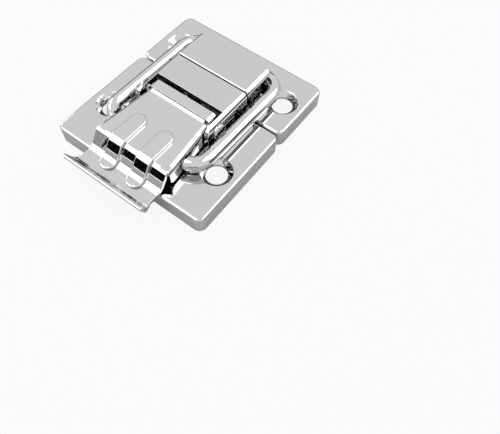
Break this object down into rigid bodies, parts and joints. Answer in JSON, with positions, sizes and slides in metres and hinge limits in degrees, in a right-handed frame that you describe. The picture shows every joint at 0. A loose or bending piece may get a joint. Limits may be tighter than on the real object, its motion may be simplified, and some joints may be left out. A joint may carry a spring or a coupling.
{
  "type": "toggle latch",
  "caption": "Surface-mounted over-centre toggle latch: a pressed lever in a riveted bracket pulls a wire loop over a folded catch, on two screwed mounting pans.",
  "frame": {"origin": "centre of the four fixing holes on the mounting surface, with the latch closed", "axes": "+Z out of the mounting surface, +Y from the finger lip to the strike end, +X to the right seen from the lip"},
  "size_m": [0.05, 0.0632, 0.012],
  "materials": {
    "plated_pan": "bright nickel-chrome plating on drawn steel sheet",
    "plated_bracket": "bright nickel-chrome plating on folded steel sheet",
    "plated_lever": "bright nickel-chrome plating on pressed steel sheet",
    "plated_pin": "bright plating, domed riveted heads",
    "plated_wire": "bright plating on drawn steel wire",
    "plated_stop": "bright plating on steel strip",
    "plated_rivet": "plated tubular rivet with rolled ends"
  },
  "bodies": {
    "base": {"lever_pan": "plated_pan", "strike_pan": "plated_pan", "lever_bracket": "plated_bracket", "strike_hook": "plated_bracket", "pivot_pin": "plated_pin", "stop_plate": "plated_stop", "tube_rivet": "plated_rivet"},
    "lever": {"lever": "plated_lever"},
    "loop": {"wire_loop": "plated_wire"}
  },
  "joints": [
    {"name": "lever_pivot", "type": "hinge", "parent": "base", "child": "lever", "pos_m": [0, -0.0066, 0.009], "axis": [-1, 0, 0], "range_deg": [0, 90]},
    {"name": "loop_pivot", "type": "hinge", "parent": "lever", "child": "loop", "pos_m": [0, -0.0193, 0.0082], "axis": [-1, 0, 0], "range_deg": [-70, 0]}
  ],
  "couplings": [
    {"joint": "loop_pivot", "follows": "lever_pivot", "ratio": -0.764}
  ]
}
